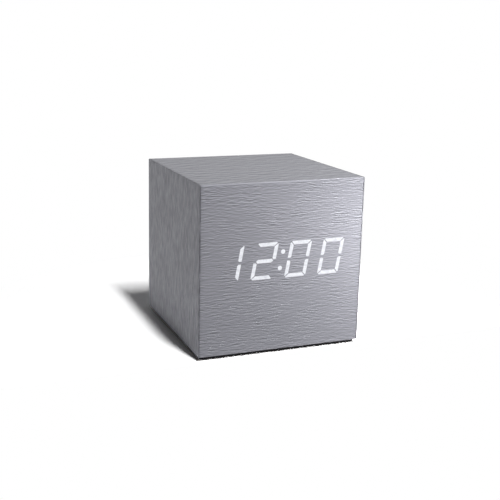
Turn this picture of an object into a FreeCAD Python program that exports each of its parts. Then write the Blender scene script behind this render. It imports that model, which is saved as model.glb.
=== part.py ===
"""Cube LED clock: a film-covered board case on a black base, with a lit 7-segment time display.

All sizes are in millimetres. The origin is on the surface that the clock stands on, under its
middle. X runs to the right along the front, Y runs to the rear and Z runs up.
"""
import FreeCAD, Part
import math
import os

V = FreeCAD.Vector

# How far a cutting shape runs past the face that it opens
past = 1.0

# How near an edge's middle lies to the plane that it is sought on
near_plane = 0.1

# Least cosine between two directions that count as parallel
parallel = 0.999

# Case of five boards under a film with a brushed look
cube = 68.0
skin = 0.4
board = 4.6
edge_round = 0.5
film_edge_round = 0.2
seam = 0.1
block = 7.0
block_height = 12.0

# Black base with its feet
base_show = 1.5
foot_lift = 0.3
base_inset = 0.8
base_corner = 2.0
base_floor = 2.0
plug_play = 0.2
boss_height = 1.6
boss_radius = 3.4
foot_radius = 4.0
foot_height = 1.0
foot_play = 0.2
foot_chamfer = 0.1

# Screws and their holes
base_screw_length = 9.0
board_screw_bite = 3.0
screw_radius = 1.0
screw_play = 0.05
hole_play = 0.15
head_radius = 1.8
head_height = 1.3
head_round = 0.5
head_play = 0.2
tip_cut = 0.5
cross_width = 0.5
cross_depth = 0.7
cross_reach = 1.0
tip_gap = 0.5
spacer_radius = 2.2

# Three AAA cells side by side in a bay that opens downwards
cells = 3
cell_radius = 5.25
cell_body = 43.5
nub_radius = 1.9
nub_length = 1.0
cell_gap = 0.7
cell_room = 0.4
cell_round = 0.4
bay_wall = 1.2
rib_width = 1.0
rib_drop = 2.0
contact_thickness = 0.3
contact_half_width = 3.4
contact_half_height = 4.0
lug_width = 2.4
lug_rise = 2.4
lug_play = 0.3
spring_length = 3.2
spring_wide = 3.0
spring_narrow = 1.9
spring_wire = 0.3
spring_turns = 3
spring_play = 0.03

# Lid of the battery bay
lid_thickness = 1.6
lid_rest = 0.6
lid_play = 0.2
lid_corner = 0.5
tongue_width = 5.0
tongue_spread = 14.0
tongue_thickness = 1.2
tongue_reach = 1.6
tongue_play = 0.1
tongue_swing = 0.7
latch_width = 9.0
latch_height = 1.6
latch_thickness = 1.0
latch_play = 0.3
notch_radius = 6.0
notch_depth = 1.0
grooves = 3
groove_length = 10.0
groove_width = 0.8
groove_depth = 0.3
groove_pitch = 2.0
groove_start = 3.0

# Time display: four digits of seven segments and a colon
time_shown = "1200"
digits = len(time_shown)
lit_segments = {"1": "bc", "2": "abdeg", "0": "abcdef"}
display_shift = -0.6
display_height = 37.4
digit_width = 9.05
digit_height = 14.3
stroke = 1.45
segment_gap = 0.35
middle_gap = 0.55
corner_cut = 0.8
lean = math.radians(10.2)
colon_radius = 0.9
colon_spread = 6.4
display_room = 0.6
housing_end = 0.9
housing_lip = 2.35
housing_depth = 8.0
window_play = 0.3
chip_length = 1.6
chip_width = 0.8
chip_height = 0.5
stake_radius = 0.7
stake_inset = 1.4
stake_rise = 0.8

# Boards that carry the electronics
pcb = 1.6
pcb_room = 0.5
pcb_margin = 5.5
hole_inset = 3.0
display_hole_inset = 2.0
control_floor_gap = 2.5
control_height = 28.0
control_room = 4.0
control_gap = 5.0
row_gap = 1.0

# Parts on the boards
connector_width = 14.0
connector_height = 5.0
connector_depth = 6.0
connector_wall = 0.8
connector_mouth = 3.0
ribbon_width = 11.0
ribbon_thickness = 0.9
ribbon_run = 6.0
ribbon_sink = 2.0
ribbon_sag = 9.0
driver_width = 10.0
driver_height = 4.0
driver_depth = 1.6
clock_chip_width = 7.5
clock_chip_height = 10.0
clock_chip_depth = 2.3
pin_pitch = 1.27
pin_width = 0.4
pin_reach = 1.4
pin_thickness = 0.3
buzzer_radius = 6.0
buzzer_depth = 9.0
buzzer_hole = 1.0
buzzer_hole_depth = 4.5
crystal_length = 10.0
crystal_width = 4.4
crystal_depth = 3.5
capacitor_radius = 2.5
capacitor_depth = 7.0
capacitor_round = 0.4
resistors_per_board = 6
resistor_length = 2.0
resistor_width = 1.25
resistor_depth = 0.5
resistor_pitch = 3.4
thermistor_radius = 1.1
thermistor_leg = 0.25
thermistor_leg_offset = 0.55
thermistor_stand = 3.0
mic_radius = 3.0
mic_depth = 4.0
mic_boot = 1.0
mic_rise = 11.0
mic_hole = 1.0
mic_play = 0.1

# Push buttons at the rear
buttons = ("set", "up", "down")
button_pitch = 11.0
button_radius = 3.0
button_flange = 3.8
button_flange_thickness = 0.8
button_stem = 1.5
button_depth = 0.2
button_play = 0.25
button_edge = 0.3
dish_half_height = 5.0
dish_depth = 1.2
bezel_face = 1.2
bezel_wall = 1.0
bezel_play = 0.2
bezel_flange = 2.0
bezel_flange_thickness = 1.2
switch_side = 6.0
switch_height = 3.5
plunger_radius = 1.7
plunger_sunk = 1.4
plunger_play = 0.1
press_travel = 0.5
press_play = 0.15

# Power socket at the rear
socket_edge = 8.0
socket_flange_radius = 5.0
socket_flange_thickness = 1.0
socket_sink = 0.2
socket_radius = 4.0
socket_bore = 2.8
socket_bore_depth = 9.5
socket_length = 12.0
socket_hole_play = 0.15
socket_edge_cut = 0.3
centre_pin_radius = 1.0
centre_pin_round = 0.6
centre_pin_sink = 0.8
nut_flats = 10.0
nut_thickness = 2.0
nut_play = 0.05
nut_room = 2.0
socket_lug_width = 2.0
socket_lug_thickness = 0.4
socket_lug_length = 4.0
socket_lug_spread = 2.4

# Insulated leads
lead_radius = 0.6
lead_lift = 2.0
lead_share = 0.3
lead_inset = 1.2
lead_start = 3.6
lead_crown = 1.2
lead_end = 6.0
socket_lead_rise = 2.4
socket_lead_end = 3.6
bend_share = 0.45

# Places worked out from the sizes above
half = cube / 2
outer = half - skin
inner = outer - board
roof = cube - skin - board
boss_top = foot_lift + base_floor + boss_height
block_centre = inner - block / 2
cell_pitch = 2 * cell_radius + cell_gap
cell_length = cell_body + nub_length
bay_x = (cell_length + spring_length + 2 * contact_thickness) / 2
bay_y = cells * cell_pitch / 2 + cell_room
floor_top = foot_lift + base_floor
lid_top = foot_lift + lid_thickness
cell_z = lid_top + cell_room + cell_radius
bay_ceiling = cell_z + cell_radius + cell_room
bay_top = bay_ceiling + bay_wall
hinge_y = -(bay_y + lid_rest - lid_play)
housing_half = inner - display_room + min(display_shift, 0)
housing_top = digit_height / 2 + housing_lip
lean_shift = digit_height / 2 * math.tan(lean)
digit_pitch = (2 * (housing_half - housing_end - lean_shift) - digit_width) / (digits - 1)
display_front = -outer
display_pcb_front = display_front + housing_depth
display_pcb_back = display_pcb_front + pcb
display_pcb_half = inner - pcb_room
display_pcb_low = display_height - housing_top - pcb_margin
display_pcb_high = display_height + housing_top + pcb_margin
socket_x = inner - socket_edge
nut_corner = nut_flats / math.sqrt(3)
control_left = -(inner - control_room)
control_right = socket_x - nut_corner - nut_room
control_x = (control_left + control_right) / 2
control_low = bay_top + control_floor_gap
control_high = control_low + control_height
control_back = inner - control_gap
control_front = control_back - pcb
button_z = (control_low + control_high) / 2
button_places = [control_x + button_pitch * step for step in (-1, 0, 1)]
dish_floor = half - dish_depth
bezel_inside = dish_floor - bezel_face


# Plain solids

def box(x, y, z):
    """Box between the given pairs of limits."""
    return Part.makeBox(x[1] - x[0], y[1] - y[0], z[1] - z[0], V(x[0], y[0], z[0]))


def post(radius, x, y, z0, z1):
    """Upright cylinder."""
    return Part.makeCylinder(radius, z1 - z0, V(x, y, z0), V(0, 0, 1))


def peg(radius, x, z, y0, y1):
    """Cylinder that lies from front to rear."""
    return Part.makeCylinder(radius, y1 - y0, V(x, y0, z), V(0, 1, 0))


def bar(radius, y, z, x0, x1):
    """Cylinder that lies from left to right."""
    return Part.makeCylinder(radius, x1 - x0, V(x0, y, z), V(1, 0, 0))


def slab(points, push):
    """Flat outline through the points, pushed out along a vector."""
    outline = Part.makePolygon(points + points[:1])
    return Part.Face(outline).extrude(push)


def stadium(half_length, half_height, x, z, y0, y1):
    """Slot shape with round ends, lying from front to rear."""
    reach = half_length - half_height
    middle = box((x - reach, x + reach), (y0, y1), (z - half_height, z + half_height))
    ends = [peg(half_height, x + side * reach, z, y0, y1) for side in (-1, 1)]
    return middle.fuse(ends).removeSplitter()


def edges_along(shape, direction, keep):
    """Straight edges of a shape that run along a direction and pass a test on their middle."""
    found = []
    for edge in shape.Edges:
        ends = edge.Vertexes
        if len(ends) == 2 and edge.Curve.TypeId == "Part::GeomLine":
            run = (ends[1].Point - ends[0].Point).normalize()
            if abs(run.dot(direction)) > parallel and keep(edge.CenterOfMass):
                found.append(edge)
    return found


def group(solids):
    """Several separate solids as one piece."""
    return Part.makeCompound(solids)


def corners(x, y):
    """The four points at plus and minus x and y."""
    return [(sx * x, sy * y) for sx in (-1, 1) for sy in (-1, 1)]


# Wires and coils

def arc_by_corner(start, corner, end):
    """Arc that leaves start towards the corner and reaches end from the corner."""
    middle = (start + end) * 0.5
    chord = start.distanceToPoint(end) / 2
    turn = math.atan2(corner.distanceToPoint(middle), chord)
    crown = middle + (corner - middle).normalize() * (chord * math.tan(turn / 2))
    return Part.Arc(start, crown, end).toShape()


def route(points):
    """Path of straight runs joined by tangent arcs."""
    edges = []
    start = points[0]
    for before, corner, after in zip(points, points[1:], points[2:]):
        reach = bend_share * min(before.distanceToPoint(corner), corner.distanceToPoint(after))
        enter = corner + (before - corner).normalize() * reach
        leave = corner + (after - corner).normalize() * reach
        edges.append(Part.LineSegment(start, enter).toShape())
        edges.append(arc_by_corner(enter, corner, leave))
        start = leave
    edges.append(Part.LineSegment(start, points[-1]).toShape())
    return Part.Wire(edges)


def biarc(start, start_way, end, end_way):
    """Two tangent arcs from one point and direction to another."""
    gap = end - start
    along = gap.dot(start_way + end_way)
    spread = 2 * (1 - start_way.dot(end_way))
    reach = (math.sqrt(along ** 2 + spread * gap.dot(gap)) - along) / spread
    first = start + start_way * reach
    second = end - end_way * reach
    joint = (first + second) * 0.5
    return [arc_by_corner(start, first, joint), arc_by_corner(joint, second, end)]


def coil(x0, x1, y, z, radius0, radius1, turns, phase=0.0):
    """Conical coil along X, as a path of biarcs of a quarter turn."""
    steps = 4 * turns
    sweep = 2 * math.pi * turns
    slope = radius1 - radius0

    def at(share):
        angle = phase + sweep * share
        radius = radius0 + slope * share
        place = V(x0 + (x1 - x0) * share, y + radius * math.cos(angle), z + radius * math.sin(angle))
        way = V(
            x1 - x0,
            slope * math.cos(angle) - radius * sweep * math.sin(angle),
            slope * math.sin(angle) + radius * sweep * math.cos(angle),
        )
        return place, way.normalize()

    stops = [at(step / steps) for step in range(steps + 1)]
    edges = []
    for (start, start_way), (end, end_way) in zip(stops, stops[1:]):
        edges += biarc(start, start_way, end, end_way)
    return Part.Wire(edges)


def tube(path, radius):
    """Round wire along a path."""
    first = path.OrderedEdges[0]
    start = first.valueAt(first.FirstParameter)
    way = first.tangentAt(first.FirstParameter)
    ring = Part.Wire(Part.makeCircle(radius, start, way))
    return path.makePipeShell([ring], True, False)


# Fasteners

def screw(length):
    """Pan head screw that points down, with the underside of its head at the origin."""
    head = post(head_radius, 0, 0, 0, head_height)
    crown = [edge for edge in head.Edges if edge.CenterOfMass.z > head_height - head_round]
    head = head.makeFillet(head_round, crown)
    shank = post(screw_radius, 0, 0, -length, 0)
    tip = [edge for edge in shank.Edges if edge.CenterOfMass.z < tip_cut - length]
    shank = shank.makeChamfer(tip_cut, tip)
    reach = (-cross_reach, cross_reach)
    width = (-cross_width / 2, cross_width / 2)
    depth = (head_height - cross_depth, head_height)
    slots = [box(reach, width, depth), box(width, reach, depth)]
    return head.fuse(shank).cut(slots)


def placed_screw(length, place, turn_axis, turn_angle):
    """Screw turned about an axis and set with its head's underside at a place."""
    piece = screw(length)
    piece.Placement = FreeCAD.Placement(place, FreeCAD.Rotation(turn_axis, turn_angle))
    return piece


# Segments of the display

def segment_outline(name):
    """Corners of one segment about its digit's centre, before the digit leans."""
    w = digit_width / 2
    h = digit_height / 2
    mitre = segment_gap / math.sqrt(2)
    if name in "ad":
        side = 1 if name == "a" else -1
        end = [
            (w - corner_cut, h),
            (w - (corner_cut + mitre) / 2, h - (corner_cut - mitre) / 2),
            (w - stroke - mitre, h - stroke),
        ]
        return [(u, side * v) for u, v in end] + [(-u, side * v) for u, v in reversed(end)]
    if name == "g":
        tip = w - stroke / 2 - mitre
        end = [(tip - stroke / 2, stroke / 2), (tip, 0), (tip - stroke / 2, -stroke / 2)]
        return end + [(-u, v) for u, v in reversed(end)]
    across = 1 if name in "bc" else -1
    up = 1 if name in "bf" else -1
    upright = [
        (w, h - corner_cut),
        (w - (corner_cut - mitre) / 2, h - (corner_cut + mitre) / 2),
        (w - stroke, h - stroke - mitre),
        (w - stroke, stroke / 2 + mitre),
        (w - stroke / 2 + mitre - middle_gap, middle_gap),
        (w, middle_gap),
    ]
    return [(across * u, up * v) for u, v in upright]


def digit_x(place):
    """X of a digit's centre, counted from the left."""
    return display_shift + digit_pitch * (place - (digits - 1) / 2)


def segment(place, name, y0, y1):
    """One segment's light guide between two depths."""
    points = []
    for u, v in segment_outline(name):
        points.append(V(digit_x(place) + u + v * math.tan(lean), y0, display_height + v))
    return slab(points, V(0, y1 - y0, 0))


def colon_dots(y0, y1):
    """Both dots of the colon between two depths."""
    dots = []
    for v in (-colon_spread / 2, colon_spread / 2):
        x = display_shift + v * math.tan(lean)
        dots.append(peg(colon_radius, x, display_height + v, y0, y1))
    return dots


def lit_digit(place, y0, y1):
    """The lit segments of one digit."""
    return [segment(place, name, y0, y1) for name in lit_segments[time_shown[place]]]


def dark_segments(y0, y1):
    """The segments of all digits that are not lit."""
    dark = []
    for place, figure in enumerate(time_shown):
        dark += [segment(place, name, y0, y1) for name in "abcdefg" if name not in lit_segments[figure]]
    return dark


def all_lit(y0, y1):
    """Every lit segment and both dots."""
    shapes = colon_dots(y0, y1)
    for place in range(digits):
        shapes += lit_digit(place, y0, y1)
    return shapes


# Screw places

def display_screw_places():
    """X and Z of the display board's screws."""
    x = display_pcb_half - hole_inset
    heights = (display_pcb_low + display_hole_inset, display_pcb_high - display_hole_inset)
    return [(sx * x, z) for sx in (-1, 1) for z in heights]


def control_screw_places():
    """X and Z of the control board's screws."""
    return [(x, z) for x in (control_left + hole_inset, control_right - hole_inset)
            for z in (control_low + hole_inset, control_high - hole_inset)]


def rear_openings(y0, y1):
    """The bezel's slot and the microphone's hole through the rear wall."""
    length = button_pitch + dish_half_height
    slot = stadium(length, dish_half_height, control_x, button_z, y0, y1)
    return [slot, peg(mic_hole, socket_x, button_z + mic_rise, y0, y1)]


# Case

def front_board():
    profile = [(-outer, base_show), (-inner, base_show), (-inner, roof), (-outer, roof + board)]
    wall = slab([V(-outer, y, z) for y, z in profile], V(2 * outer, 0, 0))
    reach = housing_half + window_play
    high = housing_top + window_play
    window = box(
        (display_shift - reach, display_shift + reach),
        (-half, -inner + past),
        (display_height - high, display_height + high),
    )
    pilots = [
        peg(screw_radius + screw_play, x, z, -inner - board_screw_bite - tip_gap, -inner + past)
        for x, z in display_screw_places()
    ]
    return wall.cut([window] + pilots)


def top_board():
    profile = [(-outer, roof + board), (outer, roof + board), (inner, roof), (-inner, roof)]
    return slab([V(-outer, y, z) for y, z in profile], V(2 * outer, 0, 0))


def rear_board():
    profile = [(outer, base_show), (inner, base_show), (inner, roof), (outer, roof + board)]
    wall = slab([V(-outer, y, z) for y, z in profile], V(2 * outer, 0, 0))
    recess = half - socket_sink - socket_flange_thickness
    holes = rear_openings(inner - past, half + past)
    holes.append(peg(socket_radius + socket_hole_play, socket_x, button_z, inner - past, half + past))
    holes.append(peg(socket_flange_radius + socket_hole_play, socket_x, button_z, recess, half + past))
    for x, z in control_screw_places():
        end = inner + board_screw_bite + tip_gap
        holes.append(peg(screw_radius + screw_play, x, z, inner - past, end))
    return wall.cut(holes)


def side_board(side):
    x = sorted((side * outer, side * inner))
    return box(x, (-inner, inner), (base_show, roof))


def wrap_film():
    """One film over the front, the top and the rear."""
    width = outer - seam
    hood = box((-width, width), (-half, half), (base_show, cube))
    ridges = edges_along(hood, V(1, 0, 0), lambda middle: middle.z > roof)
    hood = hood.makeFillet(edge_round, ridges)
    hollow = box((-half, half), (-outer, outer), (0, cube - skin))
    cuts = [hollow] + all_lit(-half - past, -inner)
    cuts += rear_openings(inner, half + past)
    cuts.append(peg(socket_flange_radius + socket_hole_play, socket_x, button_z, inner, half + past))
    return hood.cut(cuts)


def side_film(side):
    """Film on one side, with its upper corners rounded like the wrap's folds."""
    x = sorted((side * half, side * outer))
    sheet = box(x, (-half, half), (base_show, cube))
    ridges = edges_along(sheet, V(1, 0, 0), lambda middle: middle.z > roof)
    sheet = sheet.makeFillet(edge_round, ridges)
    rim = [edge for edge in sheet.Edges if abs(edge.CenterOfMass.x - side * half) < near_plane]
    return sheet.makeFillet(film_edge_round, rim)


def corner_blocks():
    """Glued blocks that take the base's screws."""
    blocks = []
    for x, y in corners(block_centre, block_centre):
        body = box((x - block / 2, x + block / 2), (y - block / 2, y + block / 2),
                   (boss_top, boss_top + block_height))
        end = base_screw_seat() + base_screw_length + tip_gap
        blocks.append(body.cut(post(screw_radius + screw_play, x, y, 0, end)))
    return group(blocks)


# Base

def base_screw_seat():
    """Height of the seat under each base screw's head."""
    return foot_height + head_height + head_play


def tongue_slot(x):
    """Opening in the bay's front wall for one tongue of the lid."""
    wide = tongue_width / 2 + lid_play
    high = floor_top + tongue_play + tongue_thickness + tongue_swing
    return box((x - wide, x + wide), (-bay_y - bay_wall - past, -bay_y + past), (floor_top, high))


def base_plate():
    rim = half - base_inset
    flange = box((-rim, rim), (-rim, rim), (foot_lift, base_show))
    flange = flange.makeFillet(base_corner, edges_along(flange, V(0, 0, 1), lambda middle: True))
    plug = inner - plug_play
    body = flange.fuse(box((-plug, plug), (-plug, plug), (base_show, floor_top)))
    bosses = [post(boss_radius, x, y, base_show, boss_top) for x, y in corners(block_centre, block_centre)]
    walls = box(
        (-bay_x - bay_wall, bay_x + bay_wall), (-bay_y - bay_wall, bay_y + bay_wall), (base_show, bay_top)
    )
    body = body.fuse(bosses + [walls])
    cuts = [
        box((-bay_x, bay_x), (-bay_y, bay_y), (0, bay_ceiling)),
        box((-bay_x - lid_rest, bay_x + lid_rest), (-bay_y - lid_rest, bay_y + lid_rest), (0, lid_top)),
        post(notch_radius, 0, bay_y + lid_rest, 0, foot_lift + notch_depth),
    ]
    cuts += [tongue_slot(side * tongue_spread) for side in (-1, 1)]
    for x, y in corners(block_centre, block_centre):
        cuts.append(post(foot_radius + foot_play, x, y, 0, foot_height))
        cuts.append(post(head_radius + head_play, x, y, 0, base_screw_seat()))
        cuts.append(post(screw_radius + hole_play, x, y, 0, boss_top + past))
    for side, y in ((-1, cell_y(0)), (1, cell_y(cells - 1))):
        x = sorted((side * (bay_x + lug_play), side * (bay_x - contact_thickness - lug_play)))
        wide = lug_width / 2 + lug_play
        cuts.append(box(x, (y - wide, y + wide), (bay_ceiling - past, bay_top + past)))
    body = body.cut(cuts)
    ribs = []
    reach = bay_x - contact_thickness - lug_play
    for gap in range(cells - 1):
        y = (cell_y(gap) + cell_y(gap + 1)) / 2
        ribs.append(box((-reach, reach), (y - rib_width / 2, y + rib_width / 2),
                        (bay_ceiling - rib_drop, bay_ceiling)))
    return body.fuse(ribs).removeSplitter()


def base_screws():
    """Screws that hold the base, hidden above the feet."""
    seat = base_screw_seat()
    return group([
        placed_screw(base_screw_length, V(x, y, seat), V(1, 0, 0), 180)
        for x, y in corners(block_centre, block_centre)
    ])


def rubber_feet():
    feet = []
    for x, y in corners(block_centre, block_centre):
        foot = post(foot_radius, x, y, 0, foot_height)
        rims = [edge for edge in foot.Edges if edge.CenterOfMass.z < near_plane]
        feet.append(foot.makeChamfer(foot_chamfer, rims))
    return group(feet)


def battery_lid():
    """Lid that tips about the lower edge of its tongues."""
    x = bay_x + lid_rest - lid_play
    plate = box((-x, x), (hinge_y, -hinge_y), (foot_lift, lid_top))
    plate = plate.makeFillet(lid_corner, edges_along(plate, V(0, 0, 1), lambda middle: middle.y > 0))
    inside = -bay_y + lid_play
    low = floor_top + tongue_play
    additions = []
    for side in (-1, 1):
        wide = (side * tongue_spread - tongue_width / 2, side * tongue_spread + tongue_width / 2)
        riser = (inside, inside + tongue_thickness)
        additions.append(box(wide, riser, (lid_top, low + tongue_thickness)))
        additions.append(box(wide, (-bay_y - tongue_reach, riser[1]), (low, low + tongue_thickness)))
    edge = bay_y - latch_play
    additions.append(box((-latch_width / 2, latch_width / 2), (edge - latch_thickness, edge),
                         (lid_top, lid_top + latch_height)))
    lid = plate.fuse(additions)
    cuts = []
    for row in range(grooves):
        y = -hinge_y - groove_start - groove_pitch * row
        cuts.append(box((-groove_length / 2, groove_length / 2), (y, y + groove_width),
                        (0, foot_lift + groove_depth)))
    return lid.cut(cuts).removeSplitter()


# Cells and contacts

def cell_y(index):
    """Y of one cell's axis."""
    return cell_pitch * (index - (cells - 1) / 2)


def cell_way(index):
    """Side that a cell's positive end points to: 1 is right."""
    return 1 if index % 2 == 0 else -1


def battery_cell(index):
    way = cell_way(index)
    y = cell_y(index)
    plus = way * (bay_x - contact_thickness)
    shoulder = plus - way * nub_length
    minus = shoulder - way * cell_body
    body = bar(cell_radius, y, cell_z, min(shoulder, minus), max(shoulder, minus))
    body = body.makeFillet(cell_round, [edge for edge in body.Edges if len(edge.Vertexes) == 1])
    return body.fuse(bar(nub_radius, y, cell_z, min(plus, shoulder), max(plus, shoulder)))


def contact_springs():
    springs = []
    for index in range(cells):
        way = cell_way(index)
        seat = -way * (bay_x - contact_thickness)
        slack = spring_wire + spring_play
        start = seat + way * slack
        end = seat + way * (spring_length - slack)
        path = coil(start, end, cell_y(index), cell_z, spring_wide, spring_narrow, spring_turns)
        springs.append(tube(path, spring_wire))
    return group(springs)


def contact_plate(side, y0, y1, height):
    """Flat contact at one end of the bay."""
    x = sorted((side * bay_x, side * (bay_x - contact_thickness)))
    return box(x, (y0 - contact_half_width, y1 + contact_half_width), (cell_z - contact_half_height, height))


def contact_plates():
    """Plates that join the cells in a row, and the two end plates with their lugs."""
    top = cell_z + contact_half_height
    plates = []
    for index in range(cells - 1):
        plates.append(contact_plate(cell_way(index), cell_y(index), cell_y(index + 1), top))
    for side, index in ((-cell_way(0), 0), (cell_way(cells - 1), cells - 1)):
        y = cell_y(index)
        x = sorted((side * bay_x, side * (bay_x - contact_thickness)))
        lug = box(x, (y - lug_width / 2, y + lug_width / 2), (top, bay_top + lug_rise))
        plates.append(contact_plate(side, y, y, top).fuse(lug).removeSplitter())
    return group(plates)


def battery_lead(side, index, share):
    """Lead from an end contact's lug to the front of the control board."""
    y = cell_y(index)
    z = bay_top + lead_lift
    start = V(side * (bay_x - contact_thickness), y, z)
    end = V(control_x + share * (control_right - control_x), control_front, control_low + lead_inset)
    bend = V(start.x - side * lead_start, y, z)
    turn = V(end.x, end.y - lead_end, end.z)
    half_way = (bend + turn) * 0.5 + V(0, 0, lead_crown)
    return tube(route([start, bend, half_way, turn, end]), lead_radius)


# Display

def housing_box(y0, y1, grow=0.0):
    """Outline of the display's housing between two depths."""
    wide = housing_half + grow
    high = housing_top + grow
    return box((display_shift - wide, display_shift + wide), (y0, y1),
               (display_height - high, display_height + high))


def stake_places():
    """X and Z of the housing's stakes through the display board."""
    x = housing_half - stake_inset
    z = housing_top - stake_inset
    return [(display_shift + sx * x, display_height + sz * z) for sx in (-1, 1) for sz in (-1, 1)]


def display_housing():
    body = housing_box(display_front, display_pcb_front)
    pockets = all_lit(-half, display_pcb_front + past) + dark_segments(-half, display_pcb_front + past)
    body = body.cut(pockets)
    stakes = [
        peg(stake_radius, x, z, display_pcb_front, display_pcb_back + stake_rise) for x, z in stake_places()
    ]
    return body.fuse(stakes)


def digit_light(place):
    """Light guides of one digit's lit segments, flush with the film."""
    return group(lit_digit(place, -half, display_pcb_front - chip_height))


def colon_lights():
    return group(colon_dots(-half, display_pcb_front - chip_height))


def unlit_segments():
    return group(dark_segments(display_front, display_pcb_front - chip_height))


def led_chips():
    """One light chip behind each segment and dot."""
    back = display_pcb_front
    guides = all_lit(display_front, back) + dark_segments(display_front, back)
    chips = []
    for guide in guides:
        middle = guide.CenterOfMass
        upright = guide.BoundBox.ZLength > guide.BoundBox.XLength
        across, tall = (chip_width, chip_length) if upright else (chip_length, chip_width)
        if guide.BoundBox.ZLength < 2 * stroke and guide.BoundBox.XLength < 2 * stroke:
            across = chip_width
        chips.append(box((middle.x - across / 2, middle.x + across / 2), (back - chip_height, back),
                         (middle.z - tall / 2, middle.z + tall / 2)))
    return group(chips)


def display_board():
    plate = box((-display_pcb_half, display_pcb_half), (display_pcb_front, display_pcb_back),
                (display_pcb_low, display_pcb_high))
    near = display_pcb_front - past
    far = display_pcb_back + past
    holes = [peg(screw_radius + hole_play, x, z, near, far) for x, z in display_screw_places()]
    holes += [peg(stake_radius + screw_play, x, z, near, far) for x, z in stake_places()]
    return plate.cut(holes)


def spacers(places, y0, y1):
    """Tubes around the screws between a wall and a board."""
    tubes = []
    for x, z in places:
        body = peg(spacer_radius, x, z, y0, y1)
        tubes.append(body.cut(peg(screw_radius + hole_play, x, z, y0 - past, y1 + past)))
    return group(tubes)


def display_spacers():
    return spacers(display_screw_places(), -inner, display_pcb_front)


def display_screws():
    length = display_pcb_back + inner + board_screw_bite
    return group([
        placed_screw(length, V(x, display_pcb_back, z), V(1, 0, 0), -90) for x, z in display_screw_places()
    ])


def chip_package(x, z, width, height, depth, face, way):
    """Chip body with a row of legs above and below, on a board's face."""
    stand = pin_thickness / 2
    y = sorted((face + way * stand, face + way * depth))
    body = box((x - width / 2, x + width / 2), y, (z - height / 2, z + height / 2))
    legs = []
    count = int((width - 2 * pin_width) / pin_pitch) + 1
    for place in range(count):
        leg_x = x + pin_pitch * (place - (count - 1) / 2)
        span = (leg_x - pin_width / 2, leg_x + pin_width / 2)
        for side in (-1, 1):
            edge = z + side * height / 2
            foot_z = sorted((edge, edge + side * pin_reach))
            riser_z = sorted((edge, edge + side * pin_thickness))
            foot_y = sorted((face, face + way * pin_thickness))
            riser_y = sorted((face, face + way * depth / 2))
            legs.append(box(span, foot_y, foot_z).fuse(box(span, riser_y, riser_z)).removeSplitter())
    return group([body] + legs)


def connector(face, way, z):
    """Open-topped header on a board's face."""
    y = sorted((face, face + way * connector_depth))
    shell = box((control_x - connector_width / 2, control_x + connector_width / 2), y,
                (z - connector_height / 2, z + connector_height / 2))
    wide = connector_width / 2 - connector_wall
    high = connector_height / 2 - connector_wall
    mouth = sorted((face + way * (connector_depth - connector_mouth), face + way * (connector_depth + past)))
    return shell.cut(box((control_x - wide, control_x + wide), mouth, (z - high, z + high)))


def display_connector_z():
    return display_pcb_high - pcb_margin


def control_connector_z():
    return control_high - connector_height / 2 - row_gap / 2


def ribbon_cable():
    """Flat cable that sags between the two connectors."""
    start = V(control_x, display_pcb_back + connector_depth - ribbon_sink, display_connector_z())
    end = V(control_x, control_front - connector_depth + ribbon_sink, control_connector_z())
    leave = start + V(0, ribbon_sink + ribbon_run, 0)
    arrive = end - V(0, ribbon_sink + ribbon_run, 0)
    dip = (leave + arrive) * 0.5 - V(0, 0, ribbon_sag)
    path = route([start, leave, dip, arrive, end])
    wide = ribbon_width / 2
    thick = ribbon_thickness / 2
    ring = [start + V(-wide, 0, -thick), start + V(wide, 0, -thick), start + V(wide, 0, thick),
            start + V(-wide, 0, thick)]
    return path.makePipeShell([Part.makePolygon(ring + ring[:1])], True, False)


def resistor_row(x, z, face, way):
    """Row of small resistors on a board's face."""
    row = []
    for place in range(resistors_per_board):
        middle = x + resistor_pitch * (place - (resistors_per_board - 1) / 2)
        y = sorted((face, face + way * resistor_depth))
        row.append(box((middle - resistor_length / 2, middle + resistor_length / 2), y,
                       (z - resistor_width / 2, z + resistor_width / 2)))
    return row


def display_driver():
    return chip_package(display_shift, display_height, driver_width, driver_height, driver_depth,
                        display_pcb_back, 1)


def display_resistors():
    return group(resistor_row(display_shift, display_height - housing_top, display_pcb_back, 1))


def control_resistors():
    return group(resistor_row(control_x, lower_row_z(), control_front, -1))


# Control board at the rear

def lower_row_z():
    """Height of the control board's lowest row of parts."""
    return control_low + hole_inset


def control_board():
    plate = box((control_left, control_right), (control_front, control_back), (control_low, control_high))
    holes = [
        peg(screw_radius + hole_play, x, z, control_front - past, control_back + past)
        for x, z in control_screw_places()
    ]
    return plate.cut(holes)


def control_spacers():
    return spacers(control_screw_places(), control_back, inner)


def control_screws():
    length = inner + board_screw_bite - control_front
    return group([
        placed_screw(length, V(x, control_front, z), V(1, 0, 0), 90) for x, z in control_screw_places()
    ])


def middle_row_z():
    """Height of the control board's middle row of parts."""
    return control_connector_z() - connector_height / 2 - row_gap - buzzer_radius


def buzzer_x():
    return control_left + row_gap + buzzer_radius


def clock_chip_x():
    return buzzer_x() + buzzer_radius + row_gap + clock_chip_width / 2


def clock_chip():
    height = clock_chip_height - 2 * pin_reach
    return chip_package(clock_chip_x(), middle_row_z(), clock_chip_width, height, clock_chip_depth,
                        control_front, -1)


def buzzer():
    """Round sounder with a hole in its cap."""
    x = buzzer_x()
    z = middle_row_z()
    cap = control_front - buzzer_depth
    can = peg(buzzer_radius, x, z, cap, control_front)
    return can.cut(peg(buzzer_hole, x, z, cap - past, cap + buzzer_hole_depth))


def crystal():
    """Quartz crystal in a can with round ends."""
    x = buzzer_x() + buzzer_radius + row_gap + crystal_length / 2
    z = lower_row_z() + resistor_width / 2 + row_gap / 2 + crystal_width / 2
    return stadium(crystal_length / 2, crystal_width / 2, x, z, control_front - crystal_depth, control_front)


def capacitor_x():
    return clock_chip_x() + clock_chip_width / 2 + row_gap + capacitor_radius


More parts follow.
